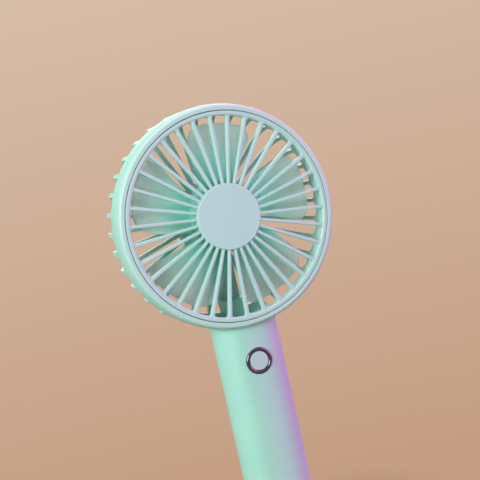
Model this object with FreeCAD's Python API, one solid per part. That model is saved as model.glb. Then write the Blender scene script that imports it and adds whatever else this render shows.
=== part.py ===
"""Hand-held rechargeable fan: round head with a spoked grille, five blades, push button handle.

Frame: millimetres, +Z up along the handle, the air leaves towards -Y, +X to the viewer's right.
Origin: centre of the flat bottom of the handle. "Depth" is measured back (+Y) from the grille's front plane.
"""
import FreeCAD
import Part
import math
import os

V = FreeCAD.Vector

# ---------------------------------------------------------------- clearances
PRESS_GAP = 0.02        # radial gap of a pressed or screwed pin in its bore
RUN_GAP = 0.05          # radial gap of the shaft in its bushes
SLIDE_GAP = 0.15        # gap round the button and round the motor in its cup
FIT_GAP = 0.10          # gap between fixed mouldings
OVERLAP = 0.30          # how far joined features reach into each other

# ---------------------------------------------------------------- head
WALL_R = 50.6           # outside radius of the ring and the cage
LIP_TAPER = 0.95        # how much narrower the ring is at its front lip
LIP_WIDTH = 2.5         # front lip, from its outside to the mouth
LIP_ROUND = 1.1
FLARE_END = 7.0         # depth at which the ring reaches its full radius
FLARE_SWELL = 0.18      # how far the flare bulges past a straight cone
RING_WALL = 2.7
GROOVE = 0.3            # visible gap between the shell's lip and the grille
MOUTH_CHAMFER = 0.2
CAGE_BAND = 1.0         # thickness of the cage's band inside the ring
BAND_DEPTH = 3.8        # how far that band reaches into the ring
BAND_ROOT = 0.7         # parting plane to the slots' round ends

# ---------------------------------------------------------------- cage
CAGE_CORNER = 11.0      # corner radius of the cage
CAGE_DOME = 1.0         # how much the rear face bulges from corner to hub
RIB_THICK = 2.6
RIB_WIDTH = 1.7
RIB_COUNT = 36
RIB_TURN = 1.5          # how far all ribs are turned about the axis, degrees
SLOT_END_PAST = 0.1     # how far the slots' round ends pass the ribs' sides
RECESS = 1.0            # how far the head's wall is set in between the ribs
RECESS_START = 12.0     # depth at which that begins
HUB_RIM_WALL = 1.9      # rim round the rear hub cap
HUB_RIM = 0.8           # height of that rim
SPOKE_WIDTH = 10.0      # wide spoke that carries the leads
SPOKE_THICK = 4.5
CLOSED_WIDTH = 5.6      # the cage is closed below the head this far in from the wall
CHANNEL_WIDTH = 4.0     # groove for the leads
CHANNEL_DEPTH = 3.4
CHANNEL_START = 3.0     # the groove begins this far inside the closed radius
COVER_WIDTH = 5.6
COVER_THICK = 1.0
COVER_START = 6.0       # the cover begins this far inside the closed radius
TOWER_DEPTH = 12.3      # closed foot of the wire spoke, from its front to the cage's rear

# ---------------------------------------------------------------- front grille
GRILLE_RIM = 2.05
GRILLE_EDGE = 0.2       # chamfer of the rim's and the skirt's edges
SKIRT_THICK = 1.5
SKIRT_DEPTH = 7.0
SPOKE_COUNT = 34
SPOKE_PHASE = 3.7       # degrees from +X
SPOKE_INNER = 1.3       # width at the disc
SPOKE_OUTER = 1.6       # width at the rim
SPOKE_FRONT = 0.3       # how far the spokes lie behind the rim's front
SPOKE_DEPTH = 2.5
SPOKE_CHAMFER = 0.25
WINDOW_CORNER = 1.0
WINDOW_INNER_CORNER = 0.35
CLIP_COUNT = 4
CLIP_HEIGHT = 0.45
CLIP_WIDTH = 6.0
CLIP_THICK = 1.6
CLIP_FROM_END = 0.4
LEDGE = 1.1             # thickness of the ledge that the skirt rests on
LEDGE_WIDTH = 1.2
DISC_R = 14.76
DISC_THICK = 1.5
DISC_CHAMFER = 0.35
DISC_SEAT = 0.1         # radial width of the step round the disc
GRILLE_HUB = 1.6        # plate behind the disc

# ---------------------------------------------------------------- impeller
BLADE_COUNT = 5
BLADE_PHASE = 9.0
TIP_GAP = 3.1           # grille's skirt to the blade tips
BLADE_WAIST = 28.0      # radius of the middle point of a blade's side edges
FRONT_EDGE_ANGLES = (37.3, 31.9, 19.5)      # degrees from the blade's phase at its root, waist and tip
REAR_EDGE_ANGLES = (-16.2, -22.0, -26.5)
FRONT_EDGE_CORNER = 8.0
REAR_EDGE_CORNER = 5.5
BLADE_THICK = 1.1
BLADE_MID = 4.8         # hub's front to the blades' side edges, on average
PITCH_ROOT = 21.0
PITCH_TIP = 13.0
BLADE_CAMBER = 1.2
BLANK_ROOT_SHARE = 0.55     # width of the blade's blank at its root, as a share of that at its tip
HUB_GAP = 1.4           # grille's hub plate to the impeller's hub
HUB_DEPTH = 14.5
HUB_WALL = 1.6
HUB_ROUND = 2.0
HUB_BOSS_R = 4.0
HUB_SPACE = 2.2         # motor can to the inside of the hub
BUSH_INSERT_R = 2.2

# ---------------------------------------------------------------- motor
SHAFT_R = 1.0
BUSH_R = 2.6
MOTOR_R = 12.2
MOTOR_WALL = 0.8
HUB_TO_MOTOR = 7.5      # hub's front to the can's front face
MOTOR_LENGTH = 16.5
MOTOR_BOSS_R = 3.6
MOTOR_BOSS = 1.2
END_CAP = 1.8
SPIGOT = 1.0            # how far the end cap reaches into the can
SPIGOT_WALL = 1.2
MAGNET_THICK = 2.7
MAGNET_ANGLE = 136.0
MAGNET_OVERHANG = 1.0   # magnets past each end of the core
AIR_GAP = 0.5           # can's bore less the magnets, to the core
CORE_FROM_FRONT = 2.6   # inside of the can's front to the core
CORE_FROM_BACK = 4.1    # core to the end cap
POLE_COUNT = 3
POLE_SHOE = 1.6
POLE_ANGLE = 92.0
POLE_ARM = 2.6
CORE_HUB_R = 3.0
WINDING_GROWTH = 1.7    # windings past each end of the core
WINDING_SIDE = 1.0      # thickness of a winding beside its arm
WINDING_ROUND = 0.9
WINDING_GAP = 0.15
COMMUTATOR_R = 2.5
COMMUTATOR_LENGTH = 2.8
COMMUTATOR_SLOT = 0.4
COMMUTATOR_SLOT_DEPTH = 0.5
COMMUTATOR_GAP = 0.3    # commutator to the end cap
BRUSH_GAP = 0.1
BRUSH_WIDTH = 1.8
BRUSH_STAND = 0.4       # foot that carries the brush off the end cap
BRUSH_LENGTH = 3.0
WASHER_THICK = 0.3
CUP_WALL = 1.8
CUP_FLOOR = 1.6
HUB_TO_CUP = 1.5        # impeller's hub to the cup's rim
CUP_TO_HUB = 2.85       # cup's outside to the cage hub's edge
REAR_CAP_THICK = 1.2
REAR_CAP_CHAMFER = 0.5
MOTOR_SCREW_X = 7.0

# ---------------------------------------------------------------- battery
CELL_R = 9.1
CELL_LENGTH = 65.0
CELL_GAP = 0.15
CELL_SHOULDER = 1.0     # height of the positive terminal above the cell's shoulder
CELL_ROUND = 0.8
TERMINAL_R = 3.2
CELL_ABOVE_FLOOR = 7.6
CRADLE_COUNT = 3
CRADLE_THICK = 1.6
CRADLE_END = 8.5        # outer cradles' distance from the cell's ends
TAB_THICK = 0.3
TAB_WIDTH = 6.0
LEAD_R = 0.65
LEAD_NOTCH = 2.4        # half width and half depth of the leads' way past the cradles
LEAD_GAP = 0.4

# ---------------------------------------------------------------- handle
CELL_SPACE = 1.7        # cell to the inside of the handle's front and rear
SIDE_SPACE = 4.6        # cell to the inside of the handle's sides
HANDLE_WALL = 1.8
SIDE_EASE = 0.3         # how much smaller the side arcs' radius is than the half depth
HANDLE_FLOOR = 2.0
HANDLE_SETBACK = 2.7    # grille's front to the handle's front
BASE_ROUND = 2.5
NECK_ROUND = 1.6
SEAM_WIDTH = 0.2        # groove along the joint of the two shells
SEAM_DEPTH = 0.3
LIP_HEIGHT = 1.6        # locating lip between the shells
LIP_THICK = 0.9

# ---------------------------------------------------------------- button
BEZEL_R = 6.1
BEZEL_WIDTH = 1.6
BEZEL_PROUD = 0.25
BEZEL_THICK = 1.8
BEZEL_ROUND = 0.75
BUTTON_BELOW_BEZEL = 0.2
BUTTON_ROUND = 0.3
BUTTON_TRAVEL = 0.5
BUTTON_FLANGE = 1.1
FLANGE_THICK = 0.8
POCKET_FLOOR = 1.4
SWITCH_SIZE = 6.0
SWITCH_HEIGHT = 3.5
PLUNGER_R = 1.75
PLUNGER_ABOVE = 1.0
PLUNGER_BELOW = 1.0

# ---------------------------------------------------------------- boards
BOARD_ABOVE_CELL = 1.6
BOARD_THICK = 1.2
BOARD_HALF_WIDTH = 8.0
BOARD_HEIGHT = 23.8
BUTTON_ON_BOARD = 17.3  # board's lower edge to the button
SCREW_FROM_SIDE = 2.2   # board screws to the boards' long edges
SCREW_ON_BOARD = 3.0    # board's lower edge to its screws
BOARD_SCREW_R = 0.8
BOARD_HEAD_R = 1.6
BOARD_HEAD = 1.0
BOARD_SCREW_LENGTH = 4.0
POST_R = 1.9
CHIP = (5.2, 1.1, 4.0)          # sizes along X, Y and Z
CHIP_PLACE = (1.0, 14.8)        # centre, from the board's mid line and lower edge
REGULATOR = (2.8, 1.2, 2.8)
REGULATOR_PLACE = (5.0, 9.6)
COIL_R = 2.2
COIL_HEIGHT = 2.0
COIL_PLACE = (-4.2, 11.8)
CAPACITOR = (1.2, 0.8, 2.0)
CAPACITOR_PLACES = ((3.6, 19.8), (5.8, 19.8))

# ---------------------------------------------------------------- charging socket
USB_WIDTH = 8.94
USB_HEIGHT = 3.16
USB_WALL = 0.3
USB_LENGTH = 9.6
USB_BACK = 1.0          # thickness of the socket's closed end
USB_RECESS = 0.5
USB_ON_BOARD = 4.3      # board's lower edge to the socket
USB_GAP = 0.25
TONGUE_WIDTH = 6.7
TONGUE_THICK = 0.7
TONGUE_SHORT = 1.6
CHARGE_ON_BOARD = 1.3   # board's lower edge to the charge board's
CHARGE_HEIGHT = 13.5
CHARGE_HALF_WIDTH = 7.2
CHARGE_POST = 10.1      # charge board's lower edge to its screws and light
LIGHT_R = 1.0
LIGHT_PROUD = 0.05

# ---------------------------------------------------------------- shell screws
HIGH_SCREW_X = 8.0
LOW_SCREW_X = 7.0
HIGH_SCREW_ABOVE = 4.2  # board's upper edge to the upper screws
LOW_SCREW_ABOVE = 3.6   # handle's floor to the lower screws
HEAD_ABOVE_SCREW = 5.2  # upper screws to the head's wall
SCREW_R = 1.1
SCREW_HEAD_R = 2.3
SCREW_HEAD = 1.7
SCREW_LENGTH = 15.0
SCREW_SEAT = 3.6        # depth of the head's seat below the handle's rear
SCREW_BOSS_R = 2.9
DRIVE_WIDTH = 0.6
DRIVE_DEPTH = 0.8
DRIVE_SHARE = 0.6       # the recess goes no deeper than this share of the head
DRIVE_REACH = 0.7       # and reaches this share of the head's radius

# ---------------------------------------------------------------- heights
CELL_FLOOR = HANDLE_FLOOR + CELL_ABOVE_FLOOR
CELL_TOP = CELL_FLOOR + CELL_LENGTH
BOARD_LOW = CELL_TOP + BOARD_ABOVE_CELL
BOARD_HIGH = BOARD_LOW + BOARD_HEIGHT
BUTTON_Z = BOARD_LOW + BUTTON_ON_BOARD
BOARD_SCREW_Z = BOARD_LOW + SCREW_ON_BOARD
USB_Z = BOARD_LOW + USB_ON_BOARD
CHARGE_LOW = BOARD_LOW + CHARGE_ON_BOARD
CHARGE_HIGH = CHARGE_LOW + CHARGE_HEIGHT
CHARGE_POST_Z = CHARGE_LOW + CHARGE_POST
HIGH_SCREW_Z = BOARD_HIGH + HIGH_SCREW_ABOVE
LOW_SCREW_Z = HANDLE_FLOOR + LOW_SCREW_ABOVE
SHELL_SCREWS = ((-HIGH_SCREW_X, HIGH_SCREW_Z), (HIGH_SCREW_X, HIGH_SCREW_Z),
                (-LOW_SCREW_X, LOW_SCREW_Z), (LOW_SCREW_X, LOW_SCREW_Z))
HEAD_BOTTOM = HIGH_SCREW_Z + HEAD_ABOVE_SCREW
HEAD_Z = HEAD_BOTTOM + WALL_R               # height of the head's axis
HANDLE_REACH = HEAD_BOTTOM + 0.4 * WALL_R   # the handle's stock runs this far into the head

# ---------------------------------------------------------------- radii about the head's axis
LIP_R = WALL_R - LIP_TAPER
MOUTH_R = LIP_R - LIP_WIDTH
RING_INNER = WALL_R - RING_WALL
GRILLE_R = MOUTH_R - GROOVE
RIM_INNER = GRILLE_R - GRILLE_RIM
SKIRT_INNER = GRILLE_R - SKIRT_THICK
TIP_R = SKIRT_INNER - TIP_GAP
HUB_R = MOTOR_R + HUB_SPACE + HUB_WALL
CORE_R = MOTOR_R - MOTOR_WALL - MAGNET_THICK - AIR_GAP
CUP_R = MOTOR_R + SLIDE_GAP
CAGE_HUB_R = CUP_R + CUP_WALL + CUP_TO_HUB
CORNER_R = WALL_R - CAGE_CORNER             # radius at which the rear face begins
CLOSED_R = WALL_R - CLOSED_WIDTH            # the cage is closed below the head from here outwards
SLOT_END_R = WALL_R * math.sin(math.pi / RIB_COUNT) - RIB_WIDTH / 2 + SLOT_END_PAST
COVER_LOW_Z = HEAD_Z - CLOSED_R + COVER_START

# ---------------------------------------------------------------- handle's section
HANDLE_HALF_WIDTH = CELL_R + SIDE_SPACE + HANDLE_WALL
HANDLE_HALF_DEPTH = CELL_R + CELL_SPACE + HANDLE_WALL
HANDLE_SIDE_R = HANDLE_HALF_DEPTH - SIDE_EASE
LEAD_X = CELL_R + LEAD_GAP + LEAD_R
BEZEL_BORE = BEZEL_R - BEZEL_WIDTH
BOARD_SCREW_X = BOARD_HALF_WIDTH - SCREW_FROM_SIDE
CHARGE_POST_X = CHARGE_HALF_WIDTH - SCREW_FROM_SIDE

# ---------------------------------------------------------------- depths behind the grille's front
FRONT_TO_AXIS = HANDLE_HALF_DEPTH + HANDLE_SETBACK      # to the handle's mid plane
FRONT_Y = -FRONT_TO_AXIS
CAGE_START = FRONT_TO_AXIS                  # the two shells part in the mid plane
SPOKE_BACK = SPOKE_FRONT + SPOKE_DEPTH
GRILLE_HUB_BACK = DISC_THICK + GRILLE_HUB
HUB_FRONT = GRILLE_HUB_BACK + HUB_GAP
HUB_BACK = HUB_FRONT + HUB_DEPTH
BLADE_MID_DEPTH = HUB_FRONT + BLADE_MID
MOTOR_FRONT = HUB_FRONT + HUB_TO_MOTOR
MOTOR_BACK = MOTOR_FRONT + MOTOR_LENGTH
WASHER_BACK = MOTOR_FRONT - MOTOR_BOSS - FIT_GAP
BOSS_BACK = WASHER_BACK - WASHER_THICK - FIT_GAP
CORE_FRONT = MOTOR_FRONT + MOTOR_WALL + CORE_FROM_FRONT
CORE_BACK = MOTOR_BACK - CORE_FROM_BACK
CAP_BACK = MOTOR_BACK + END_CAP
CUP_FRONT = HUB_BACK + HUB_TO_CUP
CUP_FLOOR_FRONT = CAP_BACK + FIT_GAP
HUB_FACE = CUP_FLOOR_FRONT + CUP_FLOOR      # rear of the cage's hub and of the cup's floor
REAR_FACE = HUB_FACE - CAGE_DOME            # rear of the cage at its corner
CORNER_START = REAR_FACE - CAGE_CORNER
WIRE_FRONT = REAR_FACE - SPOKE_THICK        # front of the wire spoke
TOWER_FRONT = REAR_FACE - TOWER_DEPTH
LEAD_DEPTH = WIRE_FRONT + CHANNEL_DEPTH - LEAD_R - FIT_GAP

# ---------------------------------------------------------------- places along Y in the handle
POCKET_Y = -HANDLE_HALF_DEPTH - BEZEL_PROUD + BEZEL_THICK
FLOOR_Y = POCKET_Y + POCKET_FLOOR
FLANGE_Y = FLOOR_Y + FIT_GAP
SWITCH_TOP = FLANGE_Y + FLANGE_THICK + PLUNGER_ABOVE
BOARD_Y = SWITCH_TOP + SWITCH_HEIGHT
BOARD_REAR = BOARD_Y + BOARD_THICK
USB_REAR = HANDLE_HALF_DEPTH - USB_RECESS
CHARGE_REAR = USB_REAR - USB_LENGTH
CHARGE_Y = CHARGE_REAR - BOARD_THICK
REAR_INNER = HANDLE_HALF_DEPTH - HANDLE_WALL
SCREW_SEAT_Y = HANDLE_HALF_DEPTH - SCREW_SEAT
SCREW_TIP_Y = SCREW_SEAT_Y - SCREW_LENGTH

FAR = 400.0             # larger than the whole part, for cutting stock
PAST = 1.0              # how far a cutter runs past what it cuts


# ================================================================ helpers
def y_at(depth):
    """Part Y of a depth behind the grille's front plane."""
    return FRONT_Y + depth


def head_point(radius, depth, angle=0.0):
    a = math.radians(angle)
    return V(radius * math.cos(a), y_at(depth), HEAD_Z + radius * math.sin(a))


def turned(outline):
    """Solid of revolution about the head's axis. Outline points are (radius, depth); a point
    given as ((radius, depth), (radius, depth)) is an arc through the first to the second."""
    edges = []
    first = outline[0]
    here = head_point(*first)
    for item in outline[1:] + [first]:
        if isinstance(item[0], tuple):
            middle, end = head_point(*item[0]), head_point(*item[1])
            edges.append(Part.Arc(here, middle, end).toShape())
        else:
            end = head_point(*item)
            if here.distanceToPoint(end) > 1e-6:
                edges.append(Part.LineSegment(here, end).toShape())
        here = end
    face = Part.Face(Part.Wire(edges))
    return face.revolve(V(0, 0, HEAD_Z), V(0, 1, 0), 360)


def drum(radius, front, back, x=0.0, z=0.0):
    """Cylinder along the head's axis, or beside it by x and z, between two depths."""
    return Part.makeCylinder(radius, back - front, V(x, y_at(front), HEAD_Z + z), V(0, 1, 0))


def tube(outer, bore, front, back, x=0.0, z=0.0):
    return drum(outer, front, back, x, z).cut(drum(bore, front - PAST, back + PAST, x, z))


def bore_through(radius, x=0.0):
    """Cutter along the head's axis, or beside it, through everything."""
    return drum(radius, -FAR, FAR, x)


def sector(reach, middle, front, length):
    """Wedge about the head's axis, reach degrees to each side of the angle called middle."""
    corners = [head_point(0, front), head_point(FAR, front, middle - reach),
               head_point(FAR, front, middle), head_point(FAR, front, middle + reach)]
    return Part.Face(Part.makePolygon(corners + [corners[0]])).extrude(V(0, length, 0))


def pin_y(radius, x, z, y0, y1):
    """Cylinder along Y at a place on the handle."""
    return Part.makeCylinder(radius, y1 - y0, V(x, y0, z), V(0, 1, 0))


def block(x0, x1, y0, y1, z0, z1):
    return Part.makeBox(x1 - x0, y1 - y0, z1 - z0, V(x0, y0, z0))


def group(*shapes):
    """Separate solids that share one node."""
    return Part.makeCompound(list(shapes))


def about_head(shape, angle):
    copy = shape.copy()
    copy.rotate(V(0, 0, HEAD_Z), V(0, -1, 0), angle)
    return copy


def edge_samples(edge):
    """Points at an edge's two ends and middle."""
    span = edge.LastParameter - edge.FirstParameter
    return [edge.valueAt(edge.FirstParameter + t * span) for t in (0.0, 0.5, 1.0)]


def circles_at(shape, y):
    """Circular edges that lie at one place along Y."""
    circles = [e for e in shape.Edges if e.Curve.TypeId == "Part::GeomCircle"]
    return [e for e in circles if abs(e.Vertexes[0].Y - y) < 1e-6]


def oval_wire(inset, z):
    """The handle's outline, moved in by inset: two side arcs and two wide front and rear arcs."""
    a, b, r = HANDLE_HALF_WIDTH, HANDLE_HALF_DEPTH, HANDLE_SIDE_R
    side = a - r
    wide = (side * side + b * b - r * r) / (2 * (b - r))
    away = wide - b
    reach = math.hypot(side, away)
    ux, uy = side / reach, away / reach
    small, large = r - inset, wide - inset
    corner = V(side + small * ux, small * uy, z)

    def flip(p, sx, sy):
        return V(sx * p.x, sy * p.y, z)

    right = Part.Arc(flip(corner, 1, -1), V(side + small, 0, z), corner)
    rear = Part.Arc(corner, V(0, large - away, z), flip(corner, -1, 1))
    left = Part.Arc(flip(corner, -1, 1), V(-side - small, 0, z), flip(corner, -1, -1))
    front = Part.Arc(flip(corner, -1, -1), V(0, away - large, z), flip(corner, 1, -1))
    return Part.Wire([e.toShape() for e in (right, rear, left, front)])


def oval(inset, z0, z1):
    return Part.Face(oval_wire(inset, z0)).extrude(V(0, 0, z1 - z0))


def half(rear):
    """Large box that keeps the rear (+Y) or the front (-Y) of the parting plane."""
    return block(-FAR, FAR, 0 if rear else -FAR, FAR if rear else 0, -FAR, FAR)


def slab(y0, y1):
    return block(-FAR, FAR, y0, y1, -FAR, FAR)


def lead_path(points, radius):
    """Round wire along straight runs with tangent arcs at the bends."""
    pts = [V(*p) for p in points]
    edges = []
    here = pts[0]
    for before, corner, after in zip(pts, pts[1:], pts[2:]):
        into, out = (before - corner).normalize(), (after - corner).normalize()
        shortest = min((before - corner).Length, (after - corner).Length)
        cut_back = 0.45 * shortest
        turn = math.pi - into.getAngle(out)
        bend = cut_back / math.tan(turn / 2)
        start, end = corner + into * cut_back, corner + out * cut_back
        middle = (into + out).normalize() * (bend / math.cos(turn / 2) - bend)
        edges.append(Part.LineSegment(here, start).toShape())
        edges.append(Part.Arc(start, corner + middle, end).toShape())
        here = end
    edges.append(Part.LineSegment(here, pts[-1]).toShape())
    path = Part.Wire(edges)
    section = Part.Wire(Part.makeCircle(radius, pts[0], pts[1] - pts[0]))
    wire = path.makePipeShell([section], True, True)
    swept = path.Length * math.pi * radius ** 2
    print("lead", round(path.Length, 2), "volume ratio", round(wire.Volume / swept, 4))
    return wire


def screw(radius, head_r, head, length, x, z, seat_y, direction):
    """Pan-head screw whose shank runs from seat_y along direction (+1 is +Y), with a cross recess."""
    tip = seat_y + direction * length
    crown = seat_y - direction * head
    shank = pin_y(radius, x, z, min(seat_y, tip), max(seat_y, tip))
    cap = pin_y(head_r, x, z, min(seat_y, crown), max(seat_y, crown))
    floor_y = crown + direction * min(DRIVE_DEPTH, DRIVE_SHARE * head)
    y0, y1 = min(crown, floor_y), max(crown, floor_y)
    reach = DRIVE_REACH * head_r
    w = DRIVE_WIDTH / 2
    level = block(x - reach, x + reach, y0, y1, z - w, z + w)
    upright = block(x - w, x + w, y0, y1, z - reach, z + reach)
    return shank.fuse(cap).cut(level.fuse(upright))


# ================================================================ envelope of the head and handle
def ring_outside(back):
    """Filled outside of the ring from the lip to a depth."""
    c = LIP_R - LIP_ROUND
    s = LIP_ROUND * math.sqrt(0.5)
    lip_middle = (c + s, LIP_ROUND - s)
    swell = ((LIP_R + WALL_R) / 2 + FLARE_SWELL, (LIP_ROUND + FLARE_END) / 2)
    return turned([(0, 0), (c, 0), (lip_middle, (LIP_R, LIP_ROUND)), (swell, (WALL_R, FLARE_END)),
                   (WALL_R, back), (0, back)])


def cage_body(inset):
    """Filled cage, moved in by inset, from the parting plane to its rear face."""
    r = CAGE_CORNER - inset
    s = r * math.sqrt(0.5)
    middle = (CORNER_R + s, CORNER_START + s)
    return turned([(0, CAGE_START), (WALL_R - inset, CAGE_START), (WALL_R - inset, CORNER_START),
                   (middle, (CORNER_R, REAR_FACE - inset)), (CAGE_HUB_R, HUB_FACE - inset),
                   (0, HUB_FACE - inset)])


def handle_body(inset):
    """Filled handle, moved in by inset, with its rounded bottom edge."""
    body = oval(inset, inset, HANDLE_REACH)
    rim = [e for e in body.Edges if all(abs(v.Z - inset) < 1e-6 for v in e.Vertexes)]
    return body.makeFillet(BASE_ROUND - inset, rim)


def handle_hollow():
    return oval(HANDLE_WALL, HANDLE_FLOOR, HANDLE_REACH)


def handle_inside(head, rear):
    """Space in one half of the handle that a rib or post may fill, a little into the wall."""
    return oval(HANDLE_WALL - OVERLAP, 0, HEAD_Z).cut(head).common(half(rear))


def cradles():
    """Ribs that hold the battery cell, with a notch at each side for the leads."""
    first, last = CELL_FLOOR + CRADLE_END, CELL_TOP - CRADLE_END
    heights = [first + k * (last - first) / (CRADLE_COUNT - 1) for k in range(CRADLE_COUNT)]
    inset = HANDLE_WALL - OVERLAP
    ribs = group(*[oval(inset, z - CRADLE_THICK / 2, z + CRADLE_THICK / 2) for z in heights])
    ribs = ribs.cut(Part.makeCylinder(CELL_R + CELL_GAP, HEAD_Z))
    for x in (-LEAD_X, LEAD_X):
        ribs = ribs.cut(block(x - LEAD_NOTCH, x + LEAD_NOTCH, -LEAD_NOTCH, LEAD_NOTCH, 0, HEAD_Z))
    return ribs, heights


def post(radius, bore, x, z, y_wall, y_end, bore_length):
    """Screw post that grows out of a handle wall to a free end, bored from that end."""
    direction = 1 if y_end > y_wall else -1
    body = pin_y(radius, x, z, min(y_wall, y_end), max(y_wall, y_end))
    bottom = y_end - direction * bore_length
    return body.cut(pin_y(bore, x, z, min(y_end, bottom), max(y_end, bottom)))


# ================================================================ shells
def neck_edges(body):
    """Edges where the handle's front and sides meet the ring."""
    found = []
    for e in body.Edges:
        points = edge_samples(e)
        on_seam = all(abs(p.y) < 1e-3 for p in points)
        radii = [math.hypot(p.x, p.z - HEAD_Z) for p in points]
        on_ring = all(LIP_R - LIP_ROUND < r < WALL_R + FIT_GAP for r in radii)
        in_handle = all(abs(p.x) < HANDLE_HALF_WIDTH + FIT_GAP and p.z < HEAD_Z for p in points)
        behind_lip = all(p.y > -HANDLE_HALF_DEPTH - FIT_GAP for p in points)
        if on_ring and in_handle and behind_lip and not on_seam:
            found.append(e)
    return found


def mouth():
    """Everything inside the ring: mouth, clip groove, ledge, duct and the rebate for the cage's band."""
    clip_back = SKIRT_DEPTH - CLIP_FROM_END + FIT_GAP
    clip_front = clip_back - CLIP_THICK - 2 * FIT_GAP
    clip_r = MOUTH_R + CLIP_HEIGHT + FIT_GAP
    ledge_r = MOUTH_R - LEDGE_WIDTH
    ledge_front = SKIRT_DEPTH + FIT_GAP
    ledge_back = ledge_front + LEDGE
    rebate = RING_INNER + CAGE_BAND + FIT_GAP
    rebate_front = CAGE_START - BAND_DEPTH - FIT_GAP
    edge = MOUTH_R + MOUTH_CHAMFER
    return turned([(0, -PAST), (edge, -PAST), (edge, 0), (MOUTH_R, MOUTH_CHAMFER),
                   (MOUTH_R, clip_front), (clip_r, clip_front), (clip_r, clip_back), (MOUTH_R, clip_back),
                   (MOUTH_R, ledge_front), (ledge_r, ledge_front), (ledge_r, ledge_back),
                   (RING_INNER, ledge_back + RING_INNER - MOUTH_R + FIT_GAP), (RING_INNER, rebate_front),
                   (rebate, rebate_front), (rebate, CAGE_START + PAST), (0, CAGE_START + PAST)])


def front_shell():
    """Head ring and front half of the handle, one moulding."""
    head = ring_outside(CAGE_START + PAST)
    body = ring_outside(CAGE_START).fuse(handle_body(0).common(half(False)))
    body = body.makeFillet(NECK_ROUND, neck_edges(body)).cut(wall_recesses())
    hollow = handle_hollow().cut(head).common(half(False))
    body = body.cut(mouth()).cut(hollow)
    inside = handle_inside(head, False)
    boss = pin_y(BEZEL_R + HANDLE_WALL, 0, BUTTON_Z, POCKET_Y - OVERLAP, FLOOR_Y)
    posts = [boss]
    wall_y = -HANDLE_HALF_DEPTH + HANDLE_WALL / 2
    for x, z in SHELL_SCREWS:
        posts.append(post(SCREW_BOSS_R, SCREW_R + PRESS_GAP, x, z, wall_y, 0, FIT_GAP - SCREW_TIP_Y))
    for x in (-BOARD_SCREW_X, BOARD_SCREW_X):
        bore = BOARD_SCREW_R + PRESS_GAP
        posts.append(post(POST_R, bore, x, BOARD_SCREW_Z, wall_y, BOARD_Y, BOARD_SCREW_LENGTH))
    ribs = cradles()[0].common(half(False))
    body = body.multiFuse([p.common(inside) for p in posts] + [ribs])
    body = body.cut(pin_y(BEZEL_R + PRESS_GAP, 0, BUTTON_Z, -FAR, POCKET_Y))
    body = body.cut(pin_y(BEZEL_BORE, 0, BUTTON_Z, -FAR, FLOOR_Y + PRESS_GAP))
    for x, z in SHELL_SCREWS:
        body = body.cut(pin_y(SCREW_R + PRESS_GAP, x, z, SCREW_TIP_Y - FIT_GAP, PAST))
    return body.removeSplitter()


def rib_angles():
    """Angles of the ribs. The wire spoke takes the place of the nearest two."""
    step = 360.0 / RIB_COUNT
    return [270.0 + RIB_TURN + (k + 0.5) * step for k in range(1, RIB_COUNT - 1)]


def slot_angles():
    return [a + 180.0 / RIB_COUNT for a in rib_angles()[:-1]]


def wall_recesses():
    """Shallow recesses in the head's wall, in line with the slots; the two beside the handle have none."""
    bottom = WALL_R - RECESS
    w = bottom * math.sin(math.pi / RIB_COUNT) - RIB_WIDTH / 2 - SLOT_END_PAST
    back = y_at(CAGE_START + BAND_ROOT + SLOT_END_R)
    cutter = block(bottom, WALL_R + PAST, y_at(RECESS_START), back, HEAD_Z - w, HEAD_Z + w)
    return group(*[about_head(cutter, a) for a in slot_angles()[1:-1]])


def cage_rib():
    """One rib along +X, from the hub's rim round the corner to the ring."""
    w = RIB_WIDTH / 2
    stock = block(CAGE_HUB_R - HUB_RIM_WALL, WALL_R + PAST, y_at(CAGE_START), y_at(HUB_FACE + PAST),
                  HEAD_Z - w, HEAD_Z + w)
    return cage_body(0).cut(cage_body(RIB_THICK)).common(stock)


def cage_foot():
    """Ring that joins the ribs at the parting plane, scooped out so that every slot ends round."""
    back = CAGE_START + BAND_ROOT + SLOT_END_R
    ring = tube(WALL_R, WALL_R - RIB_THICK, CAGE_START, back)
    start = head_point(WALL_R - RIB_THICK - PAST, back)
    scoop = Part.makeCylinder(SLOT_END_R, RIB_THICK + 2 * PAST, start, V(1, 0, 0))
    return ring.cut(group(*[about_head(scoop, a) for a in slot_angles()]))


def wire_spoke():
    """Wide spoke from the handle to the motor cup, on a foot that hides the leads."""
    w = SPOKE_WIDTH / 2
    low, high = HEAD_Z - CLOSED_R - PAST, HEAD_Z - CUP_R - CUP_WALL / 2
    spoke = block(-w, w, y_at(WIRE_FRONT), y_at(HUB_FACE), low, high)
    tower = block(-w, w, y_at(TOWER_FRONT), y_at(HUB_FACE), HEAD_BOTTOM, COVER_LOW_Z - FIT_GAP)
    return spoke.fuse(tower).common(cage_body(0))


def lead_channel():
    """Groove for the leads along the wire spoke and into the motor cup, with a rebate for its cover."""
    low, cup_edge = HEAD_Z - CLOSED_R + CHANNEL_START, HEAD_Z - CUP_R - CUP_WALL
    c = CHANNEL_WIDTH / 2
    front, bottom = y_at(WIRE_FRONT), y_at(WIRE_FRONT + CHANNEL_DEPTH)
    groove = block(-c, c, front - PAST, bottom, low, cup_edge)
    into_cup = block(-c, c, front, bottom, low, HEAD_Z - CUP_R + CUP_WALL)
    k = COVER_WIDTH / 2 + FIT_GAP
    rebate = block(-k, k, front - PAST, front + COVER_THICK, COVER_LOW_Z - FIT_GAP, cup_edge)
    return groove.fuse(into_cup).fuse(rebate)


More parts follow.
